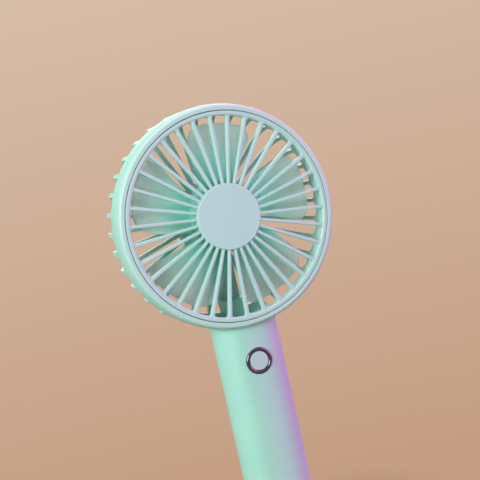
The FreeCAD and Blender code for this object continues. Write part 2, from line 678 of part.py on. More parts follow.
def cage():
    """Band, ribs, closed apron over the handle, wire spoke and the hub with the motor cup."""
    wall = cage_body(0).cut(cage_body(RIB_THICK))
    rib = cage_rib()
    pieces = [about_head(rib, a) for a in rib_angles()] + [cage_foot()]
    band_back = CAGE_START + BAND_ROOT / 2      # clear of the slots' round ends
    pieces.append(tube(RING_INNER + CAGE_BAND, RING_INNER, CAGE_START - BAND_DEPTH, band_back))
    over_handle = block(-HANDLE_HALF_WIDTH, HANDLE_HALF_WIDTH, -PAST, FAR, HEAD_BOTTOM - PAST, HEAD_Z)
    pieces.append(wall.common(over_handle).cut(bore_through(CLOSED_R)))
    pieces.append(wire_spoke())
    plate = wall.common(bore_through(CAGE_HUB_R))
    rim_back = HUB_FACE + HUB_RIM
    hub = drum(CAGE_HUB_R, HUB_FACE - RIB_THICK, rim_back)
    hub = hub.cut(drum(CAGE_HUB_R - HUB_RIM_WALL, HUB_FACE, rim_back + PAST))
    cup = drum(CUP_R + CUP_WALL, CUP_FRONT, HUB_FACE)
    body = hub.fuse(cup).fuse(plate)
    body = body.cut(drum(CUP_R, CUP_FRONT - PAST, CUP_FLOOR_FRONT))
    return body.multiFuse(pieces).cut(wall_recesses())


def locating_lip(head, heights):
    """Thin wall on the rear shell that reaches into the front shell, open at the ribs and posts."""
    top = HEAD_BOTTOM - FIT_GAP
    free = HANDLE_WALL + FIT_GAP
    root = oval(HANDLE_WALL - OVERLAP, HANDLE_FLOOR - OVERLAP, top).common(slab(0, LIP_HEIGHT))
    reach = oval(free, HANDLE_FLOOR + FIT_GAP, top).common(slab(-LIP_HEIGHT, 0))
    core = oval(free + LIP_THICK, HANDLE_FLOOR + FIT_GAP + LIP_THICK, top + PAST)
    lip = root.fuse(reach).cut(core).cut(head)
    for z in heights:
        tall = CRADLE_THICK / 2 + FIT_GAP
        lip = lip.cut(block(-FAR, FAR, -LIP_HEIGHT, 0, z - tall, z + tall))
    for x, z in SHELL_SCREWS:
        lip = lip.cut(pin_y(SCREW_BOSS_R + FIT_GAP, x, z, -LIP_HEIGHT, 0))
    return lip


def lead_hole():
    """Slanting hole from the handle into the cage's wire spoke."""
    start = V(0, LEAD_NOTCH, HEAD_BOTTOM - 2 * LEAD_NOTCH)
    end = V(0, y_at(LEAD_DEPTH) + LEAD_GAP - LEAD_NOTCH, HEAD_BOTTOM + WALL_R - CLOSED_R + CHANNEL_WIDTH)
    return Part.makeCylinder(LEAD_NOTCH, (end - start).Length, start, end - start)


def rear_shell():
    """Slotted cage, motor cup, wire spoke and rear half of the handle, one moulding."""
    head = ring_outside(CAGE_START + PAST)
    mid_wall = cage_body(RIB_THICK / 2)
    grip = handle_body(0).cut(head).cut(mid_wall).common(half(True))
    grip = grip.cut(handle_hollow().cut(cage_body(0)).common(half(True)))
    inside = handle_inside(mid_wall, True)
    ribs, heights = cradles()
    wall_y = HANDLE_HALF_DEPTH - HANDLE_WALL / 2
    posts = [pin_y(SCREW_BOSS_R, x, z, FIT_GAP, wall_y) for x, z in SHELL_SCREWS]
    for x in (-CHARGE_POST_X, CHARGE_POST_X):
        bore = BOARD_SCREW_R + PRESS_GAP
        posts.append(post(POST_R, bore, x, CHARGE_POST_Z, wall_y, CHARGE_REAR, BOARD_SCREW_LENGTH))
    extras = [p.common(inside) for p in posts] + [ribs.common(half(True)), locating_lip(head, heights)]
    body = grip.multiFuse(extras + [cage()])
    body = body.cut(lead_hole()).cut(lead_channel())
    seam = handle_body(0).cut(handle_body(SEAM_DEPTH)).common(slab(0, SEAM_WIDTH))
    body = body.cut(seam.cut(cage_body(0)))
    for x, z in SHELL_SCREWS:
        body = body.cut(pin_y(SCREW_R + FIT_GAP, x, z, -FAR, FAR))
        body = body.cut(pin_y(SCREW_HEAD_R + FIT_GAP, x, z, SCREW_SEAT_Y, FAR))
    for x in (-MOTOR_SCREW_X, MOTOR_SCREW_X):
        body = body.cut(drum(BOARD_SCREW_R + FIT_GAP, CAP_BACK, HUB_FACE + PAST, x))
        body = body.cut(drum(BOARD_HEAD_R + FIT_GAP, HUB_FACE - BOARD_HEAD, HUB_FACE + PAST, x))
    body = body.cut(usb_slot(USB_GAP, CHARGE_REAR, FAR))
    body = body.cut(pin_y(LIGHT_R + FIT_GAP, 0, CHARGE_POST_Z, 0, FAR))
    return body.removeSplitter()


def usb_slot(grow, y0, y1):
    """Flat oval prism of the socket's outline, grown by a gap."""
    r = USB_HEIGHT / 2 + grow
    c = USB_WIDTH / 2 - USB_HEIGHT / 2
    bar = block(-c, c, y0, y1, USB_Z - r, USB_Z + r)
    return bar.fuse(pin_y(r, -c, USB_Z, y0, y1)).fuse(pin_y(r, c, USB_Z, y0, y1))


# ================================================================ front grille
def window_wire(grow, depth):
    """Outline of one grille window centred on +X, grown all round by a chamfer."""
    half_pitch = math.pi / SPOKE_COUNT
    r_in, r_out = DISC_R + DISC_SEAT + FIT_GAP / 2 - grow, RIM_INNER + grow

    def edge_point(r, inset):
        t = (r - DISC_R) / (RIM_INNER - DISC_R)
        spoke = (SPOKE_INNER + t * (SPOKE_OUTER - SPOKE_INNER)) / 2
        side = r * math.sin(half_pitch) - spoke + grow - inset
        return math.sqrt(r * r - side * side), side

    c_out, c_in = WINDOW_CORNER + grow, WINDOW_INNER_CORNER
    outer_side = edge_point(r_out - c_out, 0)
    outer_end = edge_point(r_out, c_out)
    inner_side = edge_point(r_in + c_in, 0)
    inner_end = edge_point(r_in, c_in)

    def p(uv, sign):
        return V(uv[0], y_at(depth), HEAD_Z + sign * uv[1])

    def bulge(a, b, toward):
        """Middle of the corner's arc, part of the way from the chord to the sharp corner."""
        share = 0.4
        m = ((a[0] + b[0]) / 2, (a[1] + b[1]) / 2)
        return (m[0] + share * (toward[0] - m[0]), m[1] + share * (toward[1] - m[1]))

    out_corner = (max(outer_side[0], outer_end[0]), max(outer_side[1], outer_end[1]))
    in_corner = (inner_end[0], inner_side[1])
    b_out = bulge(outer_side, outer_end, out_corner)
    b_in = bulge(inner_side, inner_end, in_corner)
    edges = [Part.LineSegment(p(inner_side, 1), p(outer_side, 1)),
             Part.Arc(p(outer_side, 1), p(b_out, 1), p(outer_end, 1)),
             Part.Arc(p(outer_end, 1), V(r_out, y_at(depth), HEAD_Z), p(outer_end, -1)),
             Part.Arc(p(outer_end, -1), p(b_out, -1), p(outer_side, -1)),
             Part.LineSegment(p(outer_side, -1), p(inner_side, -1)),
             Part.Arc(p(inner_side, -1), p(b_in, -1), p(inner_end, -1)),
             Part.LineSegment(p(inner_end, -1), p(inner_end, 1)),
             Part.Arc(p(inner_end, 1), p(b_in, 1), p(inner_side, 1))]
    return Part.Wire([e.toShape() for e in edges])


def grille_window():
    straight_at = SPOKE_FRONT + SPOKE_CHAMFER
    wide, narrow = window_wire(SPOKE_CHAMFER, SPOKE_FRONT), window_wire(0, straight_at)
    straight = Part.Face(narrow).extrude(V(0, SPOKE_DEPTH + PAST, 0))
    flare = Part.makeLoft([wide, narrow], True, True)
    opening = Part.Face(wide).extrude(V(0, -SPOKE_FRONT - PAST, 0))
    return straight.fuse(flare).fuse(opening)


def front_grille():
    """Rim with a deep skirt, straight spokes and a hub plate that carries the centre disc."""
    e = GRILLE_EDGE
    seat = DISC_R + FIT_GAP / 2
    hub_r = DISC_R + DISC_SEAT
    bevel = RIM_INNER + SPOKE_CHAMFER
    plate = turned([(0, DISC_THICK), (seat, DISC_THICK), (seat, SPOKE_FRONT), (bevel, SPOKE_FRONT),
                    (bevel + SPOKE_FRONT, 0), (GRILLE_R - e, 0), (GRILLE_R, e),
                    (GRILLE_R, SKIRT_DEPTH - e), (GRILLE_R - e, SKIRT_DEPTH), (SKIRT_INNER, SKIRT_DEPTH),
                    (SKIRT_INNER, SPOKE_BACK), (hub_r, SPOKE_BACK), (hub_r - 2 * e, GRILLE_HUB_BACK),
                    (0, GRILLE_HUB_BACK)])
    cutter = grille_window()
    step = 360.0 / SPOKE_COUNT
    windows = [about_head(cutter, SPOKE_PHASE + (k + 0.5) * step) for k in range(SPOKE_COUNT)]
    plate = plate.cut(group(*windows))
    clip_back = SKIRT_DEPTH - CLIP_FROM_END
    w = CLIP_WIDTH / 2
    bar = block(GRILLE_R - SKIRT_THICK / 2, WALL_R, y_at(clip_back - CLIP_THICK), y_at(clip_back),
                HEAD_Z - w, HEAD_Z + w)
    clip = bar.common(drum(MOUTH_R + CLIP_HEIGHT, 0, SKIRT_DEPTH))
    turn = 360.0 / CLIP_COUNT
    return plate.multiFuse([about_head(clip, (k + 0.5) * turn) for k in range(CLIP_COUNT)]).removeSplitter()


def grille_disc():
    c = DISC_CHAMFER
    return turned([(0, 0), (DISC_R - c, 0), (DISC_R, c), (DISC_R, DISC_THICK), (0, DISC_THICK)])


# ================================================================ impeller
def blade_blank():
    """Twisted, cambered blade along +X, larger than its outline."""
    root_r = HUB_R - HUB_WALL
    first = root_r * math.cos(math.radians(FRONT_EDGE_ANGLES[0])) - PAST
    last = TIP_R + PAST
    reach = TIP_R * math.sin(math.radians(-REAR_EDGE_ANGLES[2])) + PAST
    h = BLADE_THICK / 2
    sections = []
    for t in (0.0, 0.33, 0.67, 1.0):
        r = first + t * (last - first)
        pitch = -math.radians(PITCH_ROOT + t * (PITCH_TIP - PITCH_ROOT))
        width = reach * (BLANK_ROOT_SHARE + t * (1 - BLANK_ROOT_SHARE))

        def place(along, across):
            up = along * math.cos(pitch) - across * math.sin(pitch)
            back = along * math.sin(pitch) + across * math.cos(pitch)
            return V(r, y_at(BLADE_MID_DEPTH) + back, HEAD_Z + up)

        edges = [Part.Arc(place(-width, -h), place(0, BLADE_CAMBER - h), place(width, -h)),
                 Part.LineSegment(place(width, -h), place(width, h)),
                 Part.Arc(place(width, h), place(0, BLADE_CAMBER + h), place(-width, h)),
                 Part.LineSegment(place(-width, h), place(-width, -h))]
        sections.append(Part.Wire([e.toShape() for e in edges]))
    return Part.makeLoft(sections, True, False)


def blade_outline():
    """Front view of one blade along +X: two curved side edges and an arc at the tip, with round corners."""
    radii = (HUB_R - HUB_WALL, BLADE_WAIST, TIP_R)
    front = [head_point(r, 0, a) for r, a in zip(radii, FRONT_EDGE_ANGLES)]
    rear = [head_point(r, 0, a) for r, a in zip(radii, REAR_EDGE_ANGLES)]
    edges = [Part.Arc(*front), Part.Arc(front[2], head_point(TIP_R, 0), rear[2]), Part.Arc(*reversed(rear)),
             Part.LineSegment(rear[0], front[0])]
    prism = Part.Face(Part.Wire([e.toShape() for e in edges])).extrude(V(0, HUB_FACE, 0))
    for tip, corner in ((front[2], FRONT_EDGE_CORNER), (rear[2], REAR_EDGE_CORNER)):
        here = [e for e in prism.Edges
                if all(math.hypot(v.X - tip.x, v.Z - tip.z) < 1e-6 for v in e.Vertexes)]
        prism = prism.makeFillet(corner, here)
    return prism


def impeller():
    s = HUB_ROUND * (1 - math.sqrt(0.5))
    inner, floor = HUB_R - HUB_WALL, HUB_FRONT + HUB_WALL
    shell = turned([(0, HUB_FRONT), (HUB_R - HUB_ROUND, HUB_FRONT),
                    ((HUB_R - s, HUB_FRONT + s), (HUB_R, HUB_FRONT + HUB_ROUND)), (HUB_R, HUB_BACK),
                    (inner, HUB_BACK), (inner, floor + HUB_ROUND / 2), (inner - HUB_ROUND / 2, floor),
                    (0, floor)])
    boss = drum(HUB_BOSS_R, HUB_FRONT + HUB_WALL / 2, BOSS_BACK)
    blade = blade_blank().common(blade_outline()).cut(bore_through(HUB_R - HUB_WALL / 2))
    blades = [about_head(blade, BLADE_PHASE + k * 360.0 / BLADE_COUNT) for k in range(BLADE_COUNT)]
    body = shell.multiFuse([boss] + blades)
    return body.cut(drum(BUSH_INSERT_R + PRESS_GAP, floor, BOSS_BACK + PAST)).removeSplitter()


def hub_bush():
    return tube(BUSH_INSERT_R, SHAFT_R + PRESS_GAP, HUB_FRONT + HUB_WALL, BOSS_BACK)


def thrust_washer():
    return tube(BUSH_R, SHAFT_R + PRESS_GAP, WASHER_BACK - WASHER_THICK, WASHER_BACK)


def motor_shaft():
    return drum(SHAFT_R, HUB_FRONT + HUB_WALL + FIT_GAP, CAP_BACK - FIT_GAP)


# ================================================================ motor
def rotor_core():
    """Three-pole laminated core."""
    shoe_ring = tube(CORE_R, CORE_R - POLE_SHOE, CORE_FRONT, CORE_BACK)
    shoe = shoe_ring.common(sector(POLE_ANGLE / 2, 0, CORE_FRONT, CORE_BACK - CORE_FRONT))
    w = POLE_ARM / 2
    arm = block(0, CORE_R - POLE_SHOE / 2, y_at(CORE_FRONT), y_at(CORE_BACK), HEAD_Z - w, HEAD_Z + w)
    parts = []
    for k in range(POLE_COUNT):
        a = k * 360.0 / POLE_COUNT
        parts += [about_head(shoe, a), about_head(arm, a)]
    body = drum(CORE_HUB_R, CORE_FRONT, CORE_BACK).multiFuse(parts)
    return body.cut(bore_through(SHAFT_R + PRESS_GAP)).removeSplitter()


def rotor_windings():
    """One coil round each arm of the core."""
    coils = []
    w = POLE_ARM / 2
    side = w + WINDING_SIDE
    inner = CORE_HUB_R + 2 * WINDING_GAP
    outer = math.sqrt((CORE_R - POLE_SHOE) ** 2 - side ** 2) - WINDING_GAP
    y0, y1 = y_at(CORE_FRONT), y_at(CORE_BACK)
    g = WINDING_GROWTH
    coil = block(inner, outer, y0 - g, y1 + g, HEAD_Z - side, HEAD_Z + side)
    edges = [e for e in coil.Edges if abs(e.Vertexes[0].X - e.Vertexes[1].X) > 1e-3]
    coil = coil.makeFillet(WINDING_ROUND, edges)
    fit = PRESS_GAP
    coil = coil.cut(block(0, CORE_R, y0 - fit, y1 + fit, HEAD_Z - w - fit, HEAD_Z + w + fit))
    for k in range(POLE_COUNT):
        coils.append(about_head(coil, k * 360.0 / POLE_COUNT))
    return group(*coils)


def commutator():
    back = MOTOR_BACK - COMMUTATOR_GAP
    front = back - COMMUTATOR_LENGTH
    ring = tube(COMMUTATOR_R, SHAFT_R + PRESS_GAP, front, back)
    w = COMMUTATOR_SLOT / 2
    slot = block(COMMUTATOR_R - COMMUTATOR_SLOT_DEPTH, COMMUTATOR_R + PAST,
                 y_at(front) - PAST, y_at(back) + PAST, HEAD_Z - w, HEAD_Z + w)
    for k in range(POLE_COUNT):
        ring = ring.cut(about_head(slot, (k + 0.5) * 360.0 / POLE_COUNT))
    return ring


def motor_can():
    body = drum(MOTOR_R, MOTOR_FRONT, MOTOR_BACK)
    body = body.fuse(drum(MOTOR_BOSS_R, MOTOR_FRONT - MOTOR_BOSS, MOTOR_FRONT + MOTOR_WALL / 2))
    body = body.cut(drum(MOTOR_R - MOTOR_WALL, MOTOR_FRONT + MOTOR_WALL, MOTOR_BACK + PAST))
    return body.cut(bore_through(BUSH_R + PRESS_GAP))


def motor_bushes():
    bush_length = MOTOR_BOSS + MOTOR_WALL
    front = tube(BUSH_R, SHAFT_R + RUN_GAP, MOTOR_FRONT - MOTOR_BOSS, MOTOR_FRONT + MOTOR_WALL)
    rear = tube(BUSH_R, SHAFT_R + RUN_GAP, CAP_BACK - min(bush_length, END_CAP), CAP_BACK)
    return group(front, rear)


def motor_magnets():
    outer = MOTOR_R - MOTOR_WALL - PRESS_GAP
    front, back = CORE_FRONT - MAGNET_OVERHANG, CORE_BACK + MAGNET_OVERHANG
    ring = tube(outer, outer - MAGNET_THICK, front, back)
    upper = ring.common(sector(MAGNET_ANGLE / 2, 90, front, back - front))
    return group(upper, about_head(upper, 180))


def motor_end_cap():
    """Flange on the can's open end, with a spigot inside it and the rear bush pressed in."""
    spigot_r = MOTOR_R - MOTOR_WALL - PRESS_GAP
    spigot = tube(spigot_r, spigot_r - SPIGOT_WALL, MOTOR_BACK - SPIGOT, MOTOR_BACK + END_CAP / 2)
    body = drum(MOTOR_R, MOTOR_BACK, CAP_BACK).fuse(spigot)
    body = body.cut(bore_through(BUSH_R + PRESS_GAP))
    for x in (-MOTOR_SCREW_X, MOTOR_SCREW_X):
        body = body.cut(bore_through(BOARD_SCREW_R + PRESS_GAP, x))
    return body


def motor_brushes():
    """Two carbon brushes that press on the commutator, standing on the end cap."""
    near = COMMUTATOR_R + BRUSH_GAP
    w = BRUSH_WIDTH / 2
    one = block(-w, w, y_at(MOTOR_BACK - BRUSH_STAND - BRUSH_WIDTH), y_at(MOTOR_BACK),
                HEAD_Z + near, HEAD_Z + near + BRUSH_LENGTH)
    return group(one, about_head(one, 180))


def motor_screws():
    seat = HUB_FACE - BOARD_HEAD
    made = [screw(BOARD_SCREW_R, BOARD_HEAD_R, BOARD_HEAD, seat - MOTOR_BACK, x, HEAD_Z, y_at(seat), -1)
            for x in (-MOTOR_SCREW_X, MOTOR_SCREW_X)]
    return group(*made)


def rear_hub_cap():
    r = CAGE_HUB_R - HUB_RIM_WALL - FIT_GAP
    c = REAR_CAP_CHAMFER
    back = HUB_FACE + REAR_CAP_THICK
    return turned([(0, HUB_FACE), (r, HUB_FACE), (r, back - c), (r - c, back), (0, back)])


def wire_cover():
    front = y_at(WIRE_FRONT)
    k = COVER_WIDTH / 2
    high = HEAD_Z - CUP_R - CUP_WALL - FIT_GAP
    return block(-k, k, front, front + COVER_THICK - PRESS_GAP, COVER_LOW_Z, high)


# ================================================================ button, boards, socket
def button_bezel():
    front_y = POCKET_Y - BEZEL_THICK
    ring = pin_y(BEZEL_R, 0, BUTTON_Z, front_y, POCKET_Y)
    ring = ring.cut(pin_y(BEZEL_BORE, 0, BUTTON_Z, front_y - PAST, POCKET_Y + PAST))
    return ring.makeFillet(BEZEL_ROUND, circles_at(ring, front_y))


def button_cap():
    face_y = POCKET_Y - BEZEL_THICK + BUTTON_BELOW_BEZEL
    back_y = FLANGE_Y + FLANGE_THICK
    cap = pin_y(BEZEL_BORE - SLIDE_GAP, 0, BUTTON_Z, face_y, back_y)
    cap = cap.makeFillet(BUTTON_ROUND, circles_at(cap, face_y))
    return cap.fuse(pin_y(BEZEL_BORE + BUTTON_FLANGE, 0, BUTTON_Z, FLANGE_Y, back_y))


def switch_plunger():
    return pin_y(PLUNGER_R, 0, BUTTON_Z, SWITCH_TOP - PLUNGER_ABOVE, SWITCH_TOP + PLUNGER_BELOW)


def tact_switch():
    s = SWITCH_SIZE / 2
    body = block(-s, s, SWITCH_TOP, BOARD_Y, BUTTON_Z - s, BUTTON_Z + s)
    depth = PLUNGER_BELOW + BUTTON_TRAVEL + SLIDE_GAP
    return body.cut(pin_y(PLUNGER_R + FIT_GAP, 0, BUTTON_Z, SWITCH_TOP - PAST, SWITCH_TOP + depth))


def circuit_board():
    w = BOARD_HALF_WIDTH
    board = block(-w, w, BOARD_Y, BOARD_REAR, BOARD_LOW, BOARD_HIGH)
    for x in (-BOARD_SCREW_X, BOARD_SCREW_X):
        board = board.cut(pin_y(BOARD_SCREW_R + FIT_GAP, x, BOARD_SCREW_Z, -FAR, FAR))
    return board


def on_board(size, place):
    """Rectangular component on the circuit board's rear."""
    x, z = place[0], BOARD_LOW + place[1]
    return block(x - size[0] / 2, x + size[0] / 2, BOARD_REAR, BOARD_REAR + size[1],
                 z - size[2] / 2, z + size[2] / 2)


def board_parts():
    """Control chip, regulator, coil and two capacitors."""
    coil = pin_y(COIL_R, COIL_PLACE[0], BOARD_LOW + COIL_PLACE[1], BOARD_REAR, BOARD_REAR + COIL_HEIGHT)
    capacitors = [on_board(CAPACITOR, place) for place in CAPACITOR_PLACES]
    return group(on_board(CHIP, CHIP_PLACE), on_board(REGULATOR, REGULATOR_PLACE), coil, *capacitors)


def charge_board():
    w = CHARGE_HALF_WIDTH
    board = block(-w, w, CHARGE_Y, CHARGE_REAR, CHARGE_LOW, CHARGE_HIGH)
    for x in (-CHARGE_POST_X, CHARGE_POST_X):
        board = board.cut(pin_y(BOARD_SCREW_R + FIT_GAP, x, CHARGE_POST_Z, -FAR, FAR))
    return board


def board_screws():
    sizes = (BOARD_SCREW_R, BOARD_HEAD_R, BOARD_HEAD, BOARD_SCREW_LENGTH)
    front = [screw(*sizes, x, BOARD_SCREW_Z, BOARD_REAR, -1) for x in (-BOARD_SCREW_X, BOARD_SCREW_X)]
    rear = [screw(*sizes, x, CHARGE_POST_Z, CHARGE_Y, 1) for x in (-CHARGE_POST_X, CHARGE_POST_X)]
    return group(*front, *rear)


def usb_socket():
    shell = usb_slot(0, CHARGE_REAR, USB_REAR)
    return shell.cut(usb_slot(-USB_WALL, CHARGE_REAR + USB_BACK, USB_REAR + PAST))


def usb_tongue():
    w, t = TONGUE_WIDTH / 2, TONGUE_THICK / 2
    return block(-w, w, CHARGE_REAR + USB_BACK, USB_REAR - TONGUE_SHORT, USB_Z - t, USB_Z + t)


def light_pipe():
    return pin_y(LIGHT_R, 0, CHARGE_POST_Z, CHARGE_REAR, HANDLE_HALF_DEPTH + LIGHT_PROUD)


# ================================================================ battery and leads
def battery_cell():
    body = Part.makeCylinder(CELL_R, CELL_LENGTH - CELL_SHOULDER, V(0, 0, CELL_FLOOR))
    rims = [e for e in body.Edges if e.Curve.TypeId == "Part::GeomCircle"]
    body = body.makeFillet(CELL_ROUND, rims)
    terminal = CELL_SHOULDER + OVERLAP
    return body.fuse(Part.makeCylinder(TERMINAL_R, terminal, V(0, 0, CELL_TOP - terminal)))


def battery_tabs():
    w = TAB_WIDTH / 2
    low = block(-LEAD_X - LEAD_R, w, -w, w, CELL_FLOOR - TAB_THICK, CELL_FLOOR)
    high = block(-w, w, -w, w, CELL_TOP, CELL_TOP + TAB_THICK)
    return group(low, high)


def battery_leads():
    """Leads from the lower and the upper tab to the circuit board."""
    low_x = COIL_PLACE[0] - COIL_R - LEAD_R
    low_z = BOARD_LOW + COIL_PLACE[1] - 2 * COIL_R
    low = lead_path([(-LEAD_X, 0, CELL_FLOOR), (-LEAD_X, 0, BOARD_LOW + COIL_HEIGHT),
                     (low_x, BOARD_REAR + 3.0, low_z), (low_x, BOARD_REAR, low_z)], LEAD_R)
    high_x, high_z = 1.6, BOARD_LOW + 2.3
    out = BOARD_REAR + 2.5
    high = lead_path([(high_x, out, CELL_TOP + TAB_THICK), (high_x, out, high_z),
                      (high_x, BOARD_REAR, high_z)], LEAD_R)
    return low, high


def motor_leads():
    """Two leads from the circuit board, through the handle's top and the wire spoke, to the motor."""
    y_channel = y_at(LEAD_DEPTH)
    start_z = BOARD_HIGH - 1.6
    made = []
    for x in (-1.05, 1.05):
        route = [(x, BOARD_REAR, start_z), (x, BOARD_REAR + 3.4, start_z),
                 (x, REAR_INNER - 5.6, HEAD_BOTTOM - 2.4), (x, REAR_INNER - 2.6, HEAD_BOTTOM + 3.3),
                 (x, REAR_INNER + 0.4, HEAD_BOTTOM + 8.1), (x, y_channel, HEAD_BOTTOM + 11.8),
                 (x, y_channel, HEAD_Z - MOTOR_R)]
        made.append(lead_path(route, LEAD_R))
    return made


def shell_screws():
    sizes = (SCREW_R, SCREW_HEAD_R, SCREW_HEAD, SCREW_LENGTH)
    return group(*[screw(*sizes, x, z, SCREW_SEAT_Y, -1) for x, z in SHELL_SCREWS])


# ================================================================ export
def main():
    os.makedirs("parts", exist_ok=True)
    lead_low, lead_high = battery_leads()
    lead_a, lead_b = motor_leads()
    parts = {
        "front_shell": front_shell(),
        "rear_shell": rear_shell(),
        "front_grille": front_grille(),
        "grille_centre_disc": grille_disc(),
        "impeller": impeller(),
        "hub_bush": hub_bush(),
        "motor_shaft": motor_shaft(),
        "thrust_washer": thrust_washer(),
        "rotor_core": rotor_core(),
        "rotor_windings": rotor_windings(),
        "commutator": commutator(),
        "motor_can": motor_can(),
        "motor_bushes": motor_bushes(),
        "motor_magnets": motor_magnets(),
        "motor_end_cap": motor_end_cap(),
        "motor_brushes": motor_brushes(),
        "motor_screws": motor_screws(),
        "rear_hub_cap": rear_hub_cap(),
        "wire_cover": wire_cover(),
        "button_cap": button_cap(),
        "button_bezel": button_bezel(),
        "switch_plunger": switch_plunger(),
        "tact_switch": tact_switch(),
        "circuit_board": circuit_board(),
        "board_parts": board_parts(),
        "charge_board": charge_board(),
        "board_screws": board_screws(),
        "usb_socket": usb_socket(),
        "usb_tongue": usb_tongue(),
        "light_pipe": light_pipe(),
        "battery_cell": battery_cell(),
        "battery_tabs": battery_tabs(),
        "battery_lead_minus": lead_low,
        "battery_lead_plus": lead_high,
        "motor_lead_a": lead_a,
        "motor_lead_b": lead_b,
        "shell_screws": shell_screws(),
    }
    for name, shape in parts.items():
        shape.exportStep("parts/%s.step" % name)
        print(name, "solids", len(shape.Solids), "valid", shape.isValid(), "volume", round(shape.Volume, 1))


main()
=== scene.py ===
# %% [markdown]
# # Dressing a hand-held fan
# The construction model gives every piece its true shape and size. This lesson gives each piece the
# finish it has on the real object: satin mint mouldings, a frosted impeller, a polished ring round
# the push button, and plain metals and boards inside. Nothing is moved or resized.

import math

import bpy
from mathutils import Matrix, Vector


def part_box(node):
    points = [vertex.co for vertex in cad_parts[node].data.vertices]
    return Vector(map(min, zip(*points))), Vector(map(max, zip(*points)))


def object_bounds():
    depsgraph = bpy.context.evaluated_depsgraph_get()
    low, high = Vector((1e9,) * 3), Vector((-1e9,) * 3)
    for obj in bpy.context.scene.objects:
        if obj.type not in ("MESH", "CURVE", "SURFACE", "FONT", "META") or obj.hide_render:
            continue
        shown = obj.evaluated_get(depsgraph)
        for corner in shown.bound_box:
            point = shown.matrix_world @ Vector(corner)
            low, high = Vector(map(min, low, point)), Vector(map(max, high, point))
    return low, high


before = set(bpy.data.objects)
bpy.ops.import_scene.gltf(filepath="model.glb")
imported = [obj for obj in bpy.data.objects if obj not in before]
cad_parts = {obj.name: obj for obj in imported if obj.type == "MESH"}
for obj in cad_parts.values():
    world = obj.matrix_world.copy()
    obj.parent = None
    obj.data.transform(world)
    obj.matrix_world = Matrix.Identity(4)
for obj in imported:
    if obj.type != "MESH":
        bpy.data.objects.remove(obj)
cad_low, cad_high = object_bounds()

# %% [markdown]
# ## Units
# Blender works in metres here, while a maker thinks of this object in millimetres. So every size and
# place that is written down is in millimetres, and one factor turns it into metres where Blender
# takes it. The head's place is read from the pieces themselves, so the lamps and the camera follow
# the model if its sizes change.

# %% Units and reference places
MM = 0.001                  # metres


def centre(node):
    """Middle of a piece's box."""
    low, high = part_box(node)
    return (low + high) / 2


disc_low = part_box("grille_centre_disc")[0]
head = Vector((0, disc_low.y, centre("grille_centre_disc").z))
head_radius = (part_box("front_shell")[1].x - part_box("front_shell")[0].x) / 2
print("head centre (mm):", [round(v / MM, 2) for v in head], "radius:", round(head_radius / MM, 2))

# %% [markdown]
# ## Colours
# A swatch is named by what it looks like on a screen, but light adds up in linear values. The sRGB
# curve turns the one into the other: a short straight piece near black, then a power of 2.4. A
# darker or paler neighbour of a colour is worked out from it, so that wear and grain stay in the
# same hue.

# %% Colours from swatches
WHITE = (1.0, 1.0, 1.0, 1.0)


def srgb(red, green, blue):
    """Linear colour of a swatch given as it looks on a screen, each part from 0 to 255."""
    def linear(value):
        share = value / 255
        return share / 12.92 if share <= 0.04045 else ((share + 0.055) / 1.055) ** 2.4
    return (linear(red), linear(green), linear(blue), 1.0)


def toned(colour, factor, lift=0.0):
    """A colour made darker or paler by a factor, and lifted a little off black."""
    return tuple(min(1.0, part * factor + lift) for part in colour[:3]) + (1.0,)


print("mid grey in linear light:", round(srgb(128, 128, 128)[0], 3))

# %% [markdown]
# ## Shader maths that reads like arithmetic
# A material is a graph of nodes, and masks are built by adding, subtracting and multiplying
# numbers. Wiring every Math node by hand hides the idea, so a small class wraps a socket and turns
# Python's operators into Math nodes. The reflected forms let an expression start with a number, as
# in `1 - mask`.

# %% A socket that does arithmetic
class Socket:
    """One output of a node in a graph."""

    def __init__(self, graph, output):
        self.graph = graph
        self.output = output

    def _maths(self, operation, first, second):
        return self.graph.node("ShaderNodeMath", {"operation": operation}, {0: first, 1: second})

    def __add__(self, other):
        return self._maths("ADD", self, other)

    def __radd__(self, other):
        return self._maths("ADD", other, self)

    def __sub__(self, other):
        return self._maths("SUBTRACT", self, other)

    def __rsub__(self, other):
        return self._maths("SUBTRACT", other, self)

    def __mul__(self, other):
        return self._maths("MULTIPLY", self, other)

    def __rmul__(self, other):
        return self._maths("MULTIPLY", other, self)


print("sockets can be added, subtracted and multiplied")

# %% [markdown]
# ## One way to add any other node
# Everything that isn't plain arithmetic comes from one method. It takes the node's type, its
# settings, and the values or links of its sockets, in that order, because some settings change
# which sockets exist. Colours go through Mix and vectors through Vector Math, since a Math node
# would turn a colour grey.

# %% A graph of nodes, and a material made of one
class Graph:
    """The nodes of a material or of the world."""

    def __init__(self, tree):
        self.tree = tree
        self.tree.nodes.clear()

    def node(self, kind, settings=None, sockets=None, out=0):
        """Adds a node and returns one of its outputs, or nothing where it has none."""
        made = self.tree.nodes.new(kind)
        for key, value in (settings or {}).items():
            setattr(made, key, value)
        for key, value in (sockets or {}).items():
            if isinstance(value, Socket):
                self.tree.links.new(value.output, made.inputs[key])
            else:
                made.inputs[key].default_value = value
        return Socket(self, made.outputs[out]) if made.outputs else None

    def vector(self, operation, sockets, out="Vector"):
        """Adds a Vector Math node."""
        return self.node("ShaderNodeVectorMath", {"operation": operation}, sockets, out)


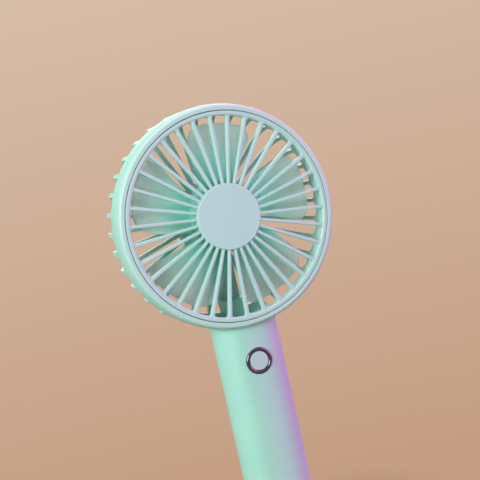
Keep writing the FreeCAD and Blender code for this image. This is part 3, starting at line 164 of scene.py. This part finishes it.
class Paint(Graph):
    """A material whose nodes are added one by one."""

    def __init__(self, name):
        self.material = bpy.data.materials.new(name)
        self.material.use_nodes = True
        super().__init__(self.material.node_tree)

    def place(self):
        """Position on the piece in millimetres. It rides along when the piece moves."""
        coordinates = self.node("ShaderNodeTexCoord", out="Object")
        return self.vector("SCALE", {0: coordinates, "Scale": 1 / MM})

    def close(self, shader):
        """Ends the material with a shader."""
        self.node("ShaderNodeOutputMaterial", {}, {"Surface": shader})
        return self.material

    def principled(self, sockets):
        """Ends the material with one Principled shader."""
        return self.close(self.node("ShaderNodeBsdfPrincipled", {}, sockets))


print("materials can be built")

# %% [markdown]
# ## Soft patterns
# Pigment, grain and drawn lines are never even, and each can be had from one soft noise of the
# right size. Unlike an image, it has no seams and needs no unwrapping. A range then says which part
# of the noise counts, and a mix turns the answer into a colour.

# %% Noise, ranges and mixes
def noise(place, size, detail=2.0):
    """Soft noise from 0 to 1 whose lumps are about size millimetres across."""
    sockets = {"Vector": place, "Scale": 1 / size, "Detail": detail}
    return place.graph.node("ShaderNodeTexNoise", {}, sockets, out="Fac")


def between(value, low, high):
    """How far value is from low to high, from 0 to 1."""
    sockets = {"Value": value, "From Min": low, "From Max": high}
    return value.graph.node("ShaderNodeMapRange", {"clamp": True}, sockets, out="Result")


def mix(share, first, second):
    """Colour between two colours."""
    sockets = {0: share, 6: first, 7: second}
    return share.graph.node("ShaderNodeMix", {"data_type": "RGBA"}, sockets, out=2)


def swing(pattern, spread):
    """A noise as a swing about nothing, half of spread to either side."""
    return (pattern - 0.5) * spread


print("noise, ranges and mixes are ready")

# %% [markdown]
# ## Edges and relief
# No moulded or turned edge is perfectly sharp: it catches a thin line of light. A Bevel node bends
# the surface's direction near an edge, so the line shows without a single new face. Where the bent
# direction leaves the face's own, there is an edge, which gives a mask for smoother edges and for
# the paler colour painted on them as a highlight. A Bump node adds the fine relief.

# %% Rounded edges, a mask of them, and relief
EDGE_START = 0.995          # cosine of the bend at which an edge begins to show
EDGE_FULL = 0.85            # and at which it shows fully


def soft_normal(paint, radius):
    """Surface direction with edges rounded off to a radius in millimetres."""
    return paint.node("ShaderNodeBevel", {"samples": 4}, {"Radius": radius * MM})


def edge_mask(rounded):
    """1 on the rounded edges and 0 on open faces."""
    plain = rounded.graph.node("ShaderNodeNewGeometry", out="Normal")
    along = rounded.graph.vector("DOT_PRODUCT", {0: rounded, 1: plain}, "Value")
    return between(along, EDGE_START, EDGE_FULL)


def relief(height, depth, normal):
    """Surface direction of a relief on top of normal: height from 0 to 1, depth in millimetres."""
    sockets = {"Height": height, "Distance": depth * MM, "Strength": 1.0, "Normal": normal}
    return height.graph.node("ShaderNodeBump", {}, sockets)


print("an edge begins at", round(math.degrees(math.acos(EDGE_START)), 1), "degrees")

# %% [markdown]
# ## Putting a finish on pieces
# A finish belongs to a material and not to one piece: both shells come out of the same mint
# plastic. So the material is made once and handed to every piece that has it, through the slots
# that each piece already has.

# %% Dress
def dress(material, *nodes):
    """Gives pieces of the construction model a finish."""
    for name in nodes:
        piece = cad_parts[name]
        if not piece.material_slots:
            piece.data.materials.append(material)
        for slot in piece.material_slots:
            slot.material = material
    print(material.name, "->", ", ".join(nodes))


# %% [markdown]
# ## The head's lip
# The ring round the head's mouth ends in a narrow lip. Its rounded edge catches the light, so it
# is painted paler than the wall behind: a painted highlight. It could be a piece of its own, but
# the real shell is one moulding, so a mask picks the lip out: it lies outside the grille's rim, and
# close to the front plane.

# %% A mask for the lip
LIP_GAP = 0.6               # from the grille's rim to the lip
LIP_FADE = 0.4              # over which the painted highlight's paler colour sets in at its inner edge
LIP_DEPTH = 0.5             # behind the front plane, down to which the lip's painted highlight is full
LIP_DEPTH_END = 3.5         # and at which it has the wall's own colour
FRONT_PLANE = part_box("front_grille")[0].y / MM
LIP_INSIDE = (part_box("front_grille")[1].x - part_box("front_grille")[0].x) / 2 / MM + LIP_GAP


def from_axis(place, node):
    """Distance of a place on a piece from the head's axis in millimetres."""
    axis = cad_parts[node].matrix_world.inverted() @ head / MM
    away = place.graph.vector("SUBTRACT", {0: place, 1: axis})
    flat = place.graph.vector("MULTIPLY", {0: away, 1: (1.0, 0.0, 1.0)})
    return place.graph.vector("LENGTH", {0: flat}, "Value")


def lip_highlight_mask(place):
    """1 on the front shell's lip, painted paler as a highlight, and 0 on the rest of the shells."""
    across = from_axis(place, "front_shell")
    depth = place.graph.node("ShaderNodeSeparateXYZ", {}, {0: place}, out="Y") - FRONT_PLANE
    return between(across, LIP_INSIDE - LIP_FADE, LIP_INSIDE) * between(depth, LIP_DEPTH_END, LIP_DEPTH)


print("the lip begins", round(LIP_INSIDE, 2), "mm from the axis")
print("its front is at", round(FRONT_PLANE, 2), "mm")

# %% [markdown]
# ## Satin mouldings
# The shells, the grille, the disc and the rear cap are injection moulded ABS. The mould is spark
# eroded, so the skin carries a very fine even grain, about a fifth of a millimetre, which spreads
# the highlight without looking rough. Pigment is never perfectly even, so the tone drifts a little
# over some centimetres. Edges that hands touch are a little smoother, and all edges are painted a
# shade lighter, a painted highlight for the line of light that they catch. A little light enters the
# skin and comes out again, which keeps the shadows of pale plastic soft. One function covers all of
# them, since only their tones differ.

# %% Satin moulding
GRAIN_SIZE = 0.22
GRAIN_DEPTH = 0.004
GRAIN_DETAIL = 3.0          # octaves of noise in a fine grain or line
GRAIN_GLOSS = 0.12          # how far the grain moves the roughness
PIGMENT_SIZE = 24.0
PIGMENT_RANGE = (0.35, 0.65)    # the part of the noise that takes the tone from colour to shade
EDGE_HIGHLIGHT_TONE = 0.5             # share of the edge's paler colour, a painted highlight
EDGE_POLISH = 0.06          # how much smoother an edge is
ABS_IOR = 1.5
ABS_GLOW = {                # light that enters the skin and comes out about a millimetre away
    "Subsurface Weight": 0.12,
    "Subsurface Radius": (0.6, 1.0, 0.9),
    "Subsurface Scale": 1.2 * MM}


def moulding(name, colour, shade, edge, roughness, rounding=0.25, lip=None):
    """Grained plastic. colour and shade are the ends of its tone; edge and lip are painted highlights.
    """
    paint = Paint(name)
    place = paint.place()
    drift = noise(place, PIGMENT_SIZE)
    grain = noise(place, GRAIN_SIZE, GRAIN_DETAIL)
    rounded = soft_normal(paint, rounding)
    edges = edge_mask(rounded)
    tone = mix(between(drift, *PIGMENT_RANGE), colour, shade)
    # the lip is mixed to a paler colour: a painted highlight
    if lip:
        tone = mix(lip_highlight_mask(place), tone, lip)
    # the edges are mixed to a paler colour: a painted highlight
    return paint.principled({
        "Base Color": mix(edges * EDGE_HIGHLIGHT_TONE, tone, edge),
        "Roughness": roughness + swing(grain, GRAIN_GLOSS) - edges * EDGE_POLISH,
        "IOR": ABS_IOR,
        **ABS_GLOW,
        "Normal": relief(grain, GRAIN_DEPTH, rounded)})


# The edge colours, and the shell's lip colour, are paler than the tones: painted highlights.
shell_mint = moulding("shell_mint", srgb(160, 217, 202), srgb(156, 214, 199), srgb(182, 227, 216),
                      roughness=0.42, lip=srgb(175, 220, 209))
# The grille and the disc are painted paler and a little bluer than the shells: painted light, standing
# in for the light that falls on the front faces.
grille_mint = moulding("grille_mint", srgb(173, 219, 209), srgb(169, 216, 206), srgb(194, 229, 222),
                       roughness=0.38, rounding=0.18)
disc_mint = moulding("disc_mint", srgb(175, 223, 214), srgb(172, 220, 211), srgb(191, 229, 223),
                     roughness=0.44)
dress(shell_mint, "front_shell", "rear_shell")
dress(grille_mint, "front_grille", "wire_cover")
dress(disc_mint, "grille_centre_disc", "rear_hub_cap")

# %% [markdown]
# ## Frosted impeller
# The blades are thin plastic with little pigment. They let light through but scatter it, so what
# lies behind shows only as a soft tint. The mint is painted deepest and brightest near the hub and
# greyer towards the tips: painted light and shade, standing in for the teal light and the teal cage
# that show through near the hub, offsetting the shade there, and standing in for the backdrop that
# shows through at the tips. Rough transmission does the scattering in one shader, where a real
# volume would be slow and noisy. The fine frost of the surface is a noise of a few tenths of a
# millimetre in roughness and relief.

# %% Frosted plastic
FROST_SIZE = 0.35
FROST_DEPTH = 0.004
FROST_GLOSS = 0.15          # how far the frost moves the roughness
FROST_ROUGHNESS = 0.5
FLOW_SIZE = 9.0             # of the drift that the plastic's flow leaves in the blades
FLOW_RANGE = (0.35, 0.7)
BLADE_ROUNDING = 0.3
BLADE_IOR = 1.35
BLADE_CLEAR = 0.45          # share of the light that passes through
BLADE_GLOW = {              # stronger and wider than in the mouldings, with less pigment in the way
    "Subsurface Weight": 0.3,
    "Subsurface Radius": (0.7, 1.0, 0.9),
    "Subsurface Scale": 2.0 * MM}
PAINTED_ROOT_TINT_END = 18.0        # from the axis, up to which the deep mint painted near the hub goes
PAINTED_TIP_TINT_START = 36.0      # from the axis, where the greyer tint painted on the tips begins


def frosted(name, node, colour, shade, root):
    """root is a deep mint painted near the axis as light and shade; colour and shade end the tips'
    tone.
    """
    paint = Paint(name)
    place = paint.place()
    frost = noise(place, FROST_SIZE, GRAIN_DETAIL)
    flow = noise(place, FLOW_SIZE)
    tone = mix(between(flow, *FLOW_RANGE), colour, shade)
    # the deep mint near the axis and the greyer tips are painted light and shade
    return paint.principled({
        "Base Color": mix(between(from_axis(place, node), PAINTED_ROOT_TINT_END, PAINTED_TIP_TINT_START), root, tone),
        "Roughness": FROST_ROUGHNESS + swing(frost, FROST_GLOSS),
        "IOR": BLADE_IOR,
        "Transmission Weight": BLADE_CLEAR,
        **BLADE_GLOW,
        "Normal": relief(frost, FROST_DEPTH, soft_normal(paint, BLADE_ROUNDING))})


# root: the deep, bright mint painted near the hub as light and shade
frosted_mint = frosted("frosted_mint", "impeller", srgb(202, 224, 219), srgb(194, 217, 211),
                       root=srgb(152, 248, 228))
dress(frosted_mint, "impeller")

# %% [markdown]
# ## Metals
# Polished, drawn, turned and ground metals differ in how their fine lines run. One function covers
# them: it stretches a noise along the lines, and uses it for roughness and a faint relief. Copper,
# brass and steel differ by colour alone, and the edges are painted a little brighter than the faces,
# a painted highlight.

# %% Metals
LINE_TONE = 0.6             # share of the darker tone in the lines
LINE_DARKER = 0.8
LINE_GLOSS = 0.1            # how far the lines move the roughness
CLOUD_SIZE = 3.0            # of the soft patches that handling leaves
CLOUD_GLOSS = 0.06          # how far the patches move the roughness
EDGE_GLINT_TONE = 0.4             # share of the painted highlight's brighter tone on edges
EDGE_GLINT_BRIGHTER = 1.15


def metal(name, colour, roughness, line_size=0.12, along=(1.0, 1.0, 1.0), depth=0.002, rounding=0.12):
    """along holds how much the noise is drawn out in each direction: small numbers give long lines."""
    paint = Paint(name)
    place = paint.place()
    lines = noise(paint.vector("MULTIPLY", {0: place, 1: along}), line_size, GRAIN_DETAIL)
    cloud = noise(place, CLOUD_SIZE)
    rounded = soft_normal(paint, rounding)
    # the edges' brighter tone is a painted highlight
    tone = mix(lines * LINE_TONE, colour, toned(colour, LINE_DARKER))
    return paint.principled({
        "Base Color": mix(edge_mask(rounded) * EDGE_GLINT_TONE, tone, toned(colour, EDGE_GLINT_BRIGHTER)),
        "Metallic": 1.0,
        "Roughness": roughness + swing(lines, LINE_GLOSS) + swing(cloud, CLOUD_GLOSS),
        "Normal": relief(lines, depth, rounded)})


# The chrome's colour is painted dark and bluish: painted shade and reflection, standing in for the dark
# surroundings that the real ring mirrors, and taking the backdrop's peach out of its reflections.
dress(metal("polished_chrome_painted_dark", srgb(96, 100, 122), 0.14, line_size=0.8, depth=0.0004, rounding=0.2),
      "button_bezel")
dress(metal("ground_steel", srgb(196, 198, 202), 0.25, along=(1.0, 0.1, 1.0)),
      "motor_shaft", "thrust_washer")
dress(metal("zinc_plated_can", srgb(186, 190, 194), 0.32, along=(1.0, 0.08, 1.0)), "motor_can")
dress(metal("zinc_plated_screws", srgb(190, 192, 196), 0.3),
      "motor_screws", "board_screws", "shell_screws")
dress(metal("nickel_plated_shell", srgb(200, 198, 192), 0.28, along=(0.3, 0.1, 1.0)), "usb_socket")
dress(metal("nickel_strip", srgb(196, 192, 180), 0.35, along=(0.1, 1.0, 1.0)), "battery_tabs")
dress(metal("turned_brass", srgb(208, 176, 110), 0.26, along=(1.0, 0.2, 1.0)),
      "hub_bush", "motor_bushes")
dress(metal("laminated_core", srgb(120, 122, 128), 0.5,
            line_size=0.35, along=(0.02, 1.0, 0.02), depth=0.02), "rotor_core")
dress(metal("enamelled_copper", srgb(190, 100, 60), 0.35,
            line_size=0.3, along=(0.05, 1.0, 1.0), depth=0.03), "rotor_windings")
dress(metal("copper_segments", srgb(200, 124, 88), 0.3, along=(1.0, 0.2, 1.0)), "commutator")

# %% [markdown]
# ## Dark and inner pieces
# Magnets are sintered and chalky, brushes are pressed carbon, and switches are black plastic. They
# hardly show, but each still has its own grain, so a view through the cage or a cut-open model
# stays believable. One function with a size and a depth of grain is enough. The cell's wrap and the
# boards' green lacquer get a clear coat on top, because they shine more than what lies under them.

# %% Dark grained pieces
SPECK_DETAIL = 4.0
SPECK_RANGE = (0.45, 0.75)  # the part of the noise that shows as paler specks
SPECK_PALER = 1.35
SPECK_LIFT = 0.004          # keeps specks visible on black
SPECK_GLOSS = 0.15          # how far the specks move the roughness
SPECK_ROUNDING = 0.12


def grained(name, colour, roughness, size=0.3, depth=0.008, coat=0.0):
    """Speckled or grained matt surface; coat is the weight of a clear coat on it."""
    paint = Paint(name)
    grain = noise(paint.place(), size, SPECK_DETAIL)
    return paint.principled({
        "Base Color": mix(between(grain, *SPECK_RANGE), colour, toned(colour, SPECK_PALER, SPECK_LIFT)),
        "Roughness": roughness + swing(grain, SPECK_GLOSS),
        "Coat Weight": coat,
        "Normal": relief(grain, depth, soft_normal(paint, SPECK_ROUNDING))})


dress(grained("sintered_magnet", srgb(66, 66, 70), 0.6), "motor_magnets")
dress(grained("pressed_carbon", srgb(46, 46, 48), 0.55, size=0.2), "motor_brushes")
dress(grained("black_plastic", srgb(40, 40, 43), 0.42, size=0.25, depth=0.004),
      "switch_plunger", "tact_switch", "board_parts", "usb_tongue")
dress(grained("white_end_cap", srgb(226, 224, 216), 0.45, depth=0.004), "motor_end_cap")
dress(grained("black_insulation", srgb(34, 34, 36), 0.4, size=0.5, depth=0.01),
      "battery_lead_minus", "motor_lead_b")
dress(grained("red_insulation", srgb(196, 44, 36), 0.38, size=0.5, depth=0.01),
      "battery_lead_plus", "motor_lead_a")
dress(grained("shrink_wrap", srgb(92, 148, 200), 0.3, size=2.5, depth=0.02, coat=0.3), "battery_cell")
dress(grained("solder_mask", srgb(34, 110, 66), 0.34, size=0.8, depth=0.006, coat=0.4),
      "circuit_board", "charge_board")

# %% [markdown]
# ## Push button and light pipe
# The button's cap is a flat satin moulding, paler than the handle because it is polished in the
# mould. The light pipe is clear plastic that ends flush with the handle's rear. A trace of haze in
# its roughness keeps it from looking like a hole.

# %% Button cap and light pipe
CLEAR_IOR = 1.49
CLEAR_SHARE = 0.9           # of the light that passes through
CLEAR_ROUGHNESS = 0.12
HAZE_SIZE = 0.6
HAZE_GLOSS = 0.08           # roughness that the haze adds


def clear_plastic(name, colour):
    """Clear plastic with a trace of haze."""
    paint = Paint(name)
    haze = noise(paint.place(), HAZE_SIZE)
    return paint.principled({
        "Base Color": colour,
        "Roughness": CLEAR_ROUGHNESS + haze * HAZE_GLOSS,
        "IOR": CLEAR_IOR,
        "Transmission Weight": CLEAR_SHARE})


# Its edge colour is paler than its tone: a painted highlight.
button_face = moulding("button_face", srgb(173, 211, 206), srgb(170, 208, 203), srgb(190, 220, 217),
                       roughness=0.36, rounding=0.15)
dress(button_face, "button_cap")
dress(clear_plastic("clear_light_pipe", srgb(232, 244, 240)), "light_pipe")

# %% [markdown]
# ## Floor
# The fan stands on its flat base on a pale paper floor, which keeps the object's shadow. A small
# floor would show its rim, so this one is wide and fades out well before its rim, into a background
# of the same colour. The fade is a mix of a matt shader and a transparent one, because that leaves
# the shadow whole near the fan.

# %% Floor
PAPER = srgb(196, 158, 131)
PAPER_FIBRE = srgb(188, 150, 124)
FIBRE_SIZE = 4.0
FIBRE_TONE = 0.04           # share of the fibres' colour
FLOOR_RADIUS = 1400.0
FLOOR_SIDES = 96
FADE_START = 50.0           # from the middle of the floor
FADE_END = 110.0


def floor_paper():
    """Matt paper that fades away from the middle of the floor."""
    paint = Paint("floor_paper")
    place = paint.place()
    fade = between(paint.vector("LENGTH", {0: place}, "Value"), FADE_START, FADE_END)
    tone = mix(noise(place, FIBRE_SIZE, GRAIN_DETAIL) * FIBRE_TONE, PAPER, PAPER_FIBRE)
    matt = paint.node("ShaderNodeBsdfDiffuse", {}, {"Color": tone})
    clear = paint.node("ShaderNodeBsdfTransparent")
    return paint.close(paint.node("ShaderNodeMixShader", {}, {0: fade, 1: matt, 2: clear}))


bpy.ops.mesh.primitive_circle_add(vertices=FLOOR_SIDES, radius=FLOOR_RADIUS * MM, fill_type="NGON")
floor = bpy.context.object
floor.name = "floor"
floor.location.z = cad_low[2]
floor.data.materials.append(floor_paper())
print("floor at", round(cad_low[2] / MM, 3), "mm")

# %% [markdown]
# ## Background
# Behind the fan is a plain backdrop in the floor's colour, a little lighter higher up, so no
# horizon cuts through the picture. Only rays that go straight to the camera, or by way of glass or
# polished metal, see it. All other rays get a weak even white, which lights the fan from everywhere
# without tinting it.

# %% Background
AMBIENT_STRENGTH = 0.27
BACKDROP_TOP = srgb(220, 196, 176)
BACKDROP_REACH = 0.3        # sine of the slope above and below level at which the colour stops changing

world = bpy.data.worlds.new("studio")
world.use_nodes = True
bpy.context.scene.world = world
sky = Graph(world.node_tree)
seen = sky.node("ShaderNodeLightPath", out="Is Camera Ray")
for kind in ("Is Glossy Ray", "Is Transmission Ray"):
    ray = sky.node("ShaderNodeLightPath", out=kind)
    seen = sky.node("ShaderNodeMath", {"operation": "MAXIMUM"}, {0: seen, 1: ray})
direction = sky.node("ShaderNodeTexCoord", out="Generated")
upward = sky.node("ShaderNodeSeparateXYZ", {}, {0: direction}, out="Z")
backdrop_tone = mix(between(upward, -BACKDROP_REACH, BACKDROP_REACH), PAPER, BACKDROP_TOP)
backdrop = sky.node("ShaderNodeBackground", {}, {"Color": backdrop_tone})
ambient = sky.node("ShaderNodeBackground", {}, {"Color": WHITE, "Strength": AMBIENT_STRENGTH})
choice = sky.node("ShaderNodeMixShader", {}, {0: seen, 1: ambient, 2: backdrop})
sky.node("ShaderNodeOutputWorld", {}, {"Surface": choice})
print("ambient light", AMBIENT_STRENGTH)

# %% [markdown]
# ## Soft studio light
# A wide softbox on the left is the main light, so the ring's left wall is brightest. A tall violet
# one stands on the right: it grazes the front, so it tints the right edges and leaves the rest
# mint. One overhead outlines the top, and one behind lightens the ribs of the cage. Soft boxes this
# large give long gentle highlights on satin plastic, where small lamps would give hard spots. The
# violet one doesn't light the floor, so the floor stays plain.

# %% Lamps
VIOLET = (0.95, 0.12, 0.70)


def softbox(name, place, width, height, power, colour=WHITE[:3]):
    """Area lamp aimed at the head. Its place and size are in millimetres, its power in watts."""
    light = bpy.data.lights.new(name, "AREA")
    light.shape = "RECTANGLE"
    light.size = width * MM
    light.size_y = height * MM
    light.energy = power
    light.color = colour
    lamp = bpy.data.objects.new(name, light)
    bpy.context.scene.collection.objects.link(lamp)
    lamp.location = Vector(place) * MM
    lamp.rotation_euler = (head - lamp.location).to_track_quat("-Z", "Y").to_euler()
    print(name, "power", power, "W at", place)
    return lamp


softbox("key_left", (-800, -600, 450), width=600, height=600, power=11.3)
side = softbox("side_right", (960, -280, 480), width=500, height=960, power=15.5, colour=VIOLET)
softbox("top", (0, 100, 1000), width=500, height=500, power=3.0)
softbox("back", (250, 850, 350), width=600, height=600, power=3.0)

spared = bpy.data.collections.new("not_lit_by_side_right")
spared.objects.link(floor)
spared.collection_objects[0].light_linking.link_state = "EXCLUDE"
side.light_linking.receiver_collection = spared
print(side.name, "doesn't light:", floor.name)

# %% [markdown]
# ## Camera
# The fan is seen from a little to its left and at the height of its head, with the picture tilted
# so that the handle leans. The camera is described by three turns and by where the head lies from
# it, which are easier to adjust by eye than a matrix.

# %% Camera
YAW = math.radians(18.695)
PITCH = math.radians(0.797)
ROLL = math.radians(13.368)
OFFSET = Vector((-4.5956, 10.3813, -480.0)) * MM     # the head, seen from the camera
LENS = 81.43
SENSOR = 36.0
NEAREST = 10.0              # nothing nearer to the camera than this is drawn

to_camera_axes = Matrix(((1, 0, 0), (0, 0, 1), (0, -1, 0)))
turn = (Matrix.Rotation(YAW, 3, "Y") @ Matrix.Rotation(PITCH, 3, "X") @ Matrix.Rotation(ROLL, 3, "Z")
        @ to_camera_axes)
camera_data = bpy.data.cameras.new("camera")
camera_data.lens = LENS
camera_data.sensor_width = SENSOR
camera_data.clip_start = NEAREST * MM
camera = bpy.data.objects.new("camera", camera_data)
bpy.context.scene.collection.objects.link(camera)
camera.matrix_world = Matrix.Translation(head - turn.transposed() @ OFFSET) @ turn.transposed().to_4x4()
bpy.context.scene.camera = camera
bpy.context.scene.view_settings.view_transform = "Standard"
print("camera at (mm):", [round(v / MM, 1) for v in camera.matrix_world.translation])

# %% [markdown]
# ## Sizes
# The construction model's box is printed, in millimetres.

# %% Sizes
print("construction box:", [round(v / MM, 2) for v in (*cad_low, *cad_high)])
